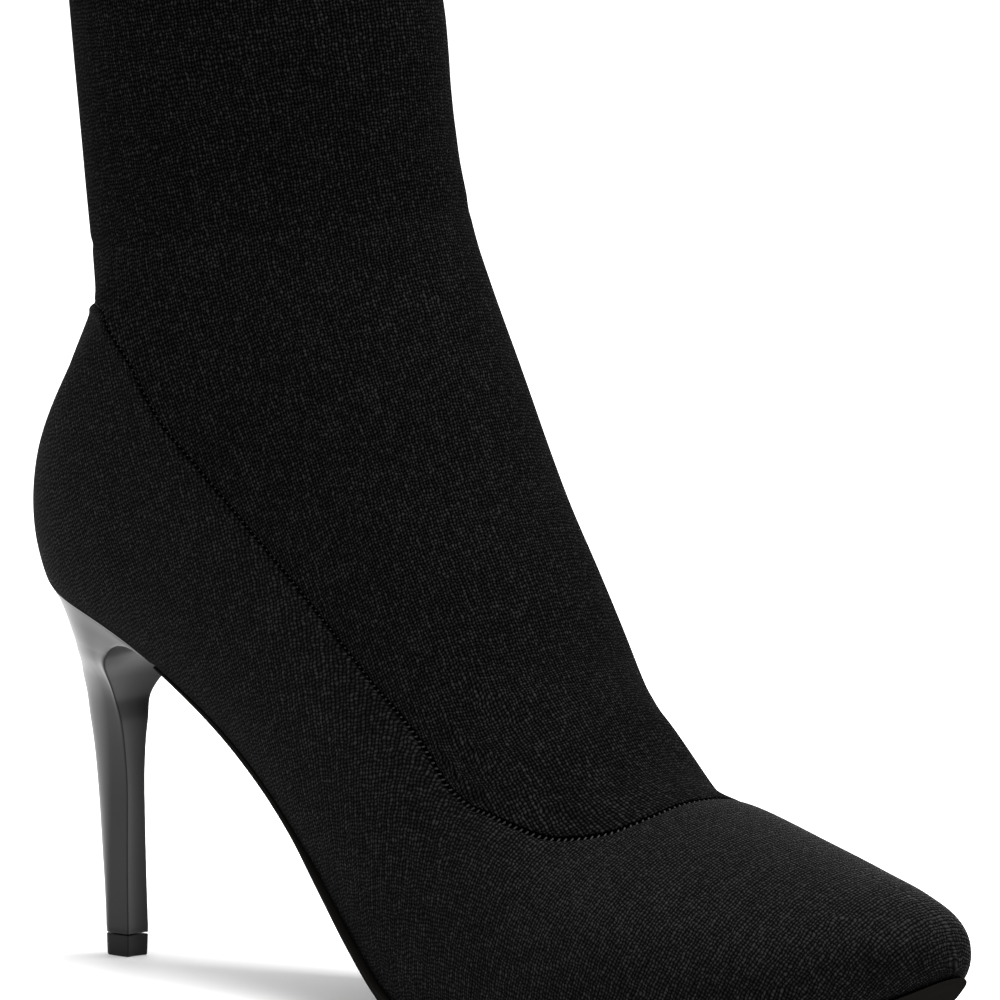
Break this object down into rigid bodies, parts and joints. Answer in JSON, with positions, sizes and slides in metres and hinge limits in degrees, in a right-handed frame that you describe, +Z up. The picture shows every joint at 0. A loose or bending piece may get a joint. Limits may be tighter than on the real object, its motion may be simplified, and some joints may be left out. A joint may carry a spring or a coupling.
{
  "type": "stiletto sock boot",
  "caption": "High-heeled ankle boot of stretch knit with a pointed toe, a knit upper, a sock shaft with a rib cuff and a slim lacquered stiletto heel.",
  "frame": {"origin": "middle of the bounding box on the floor plane", "axes": "+X to the toe, +Y to the inner side of the foot, +Z up"},
  "size_m": [0.2528, 0.0794, 0.2463],
  "materials": {
    "upper_knit": "black stretch knit with a fine diagonal dot structure",
    "shaft_knit": "black stretch knit with fine wales and a rib cuff",
    "outsole": "black, satin, with a glossy edge",
    "insole": "black lining, matt",
    "heel_lacquer": "black lacquer, high gloss",
    "heel_tip": "black, matt"
  },
  "bodies": {
    "root": {"upper": "upper_knit", "shaft": "shaft_knit", "outsole": "outsole", "insole": "insole", "heel": "heel_lacquer", "heel_tip": "heel_tip"}
  },
  "joints": []
}
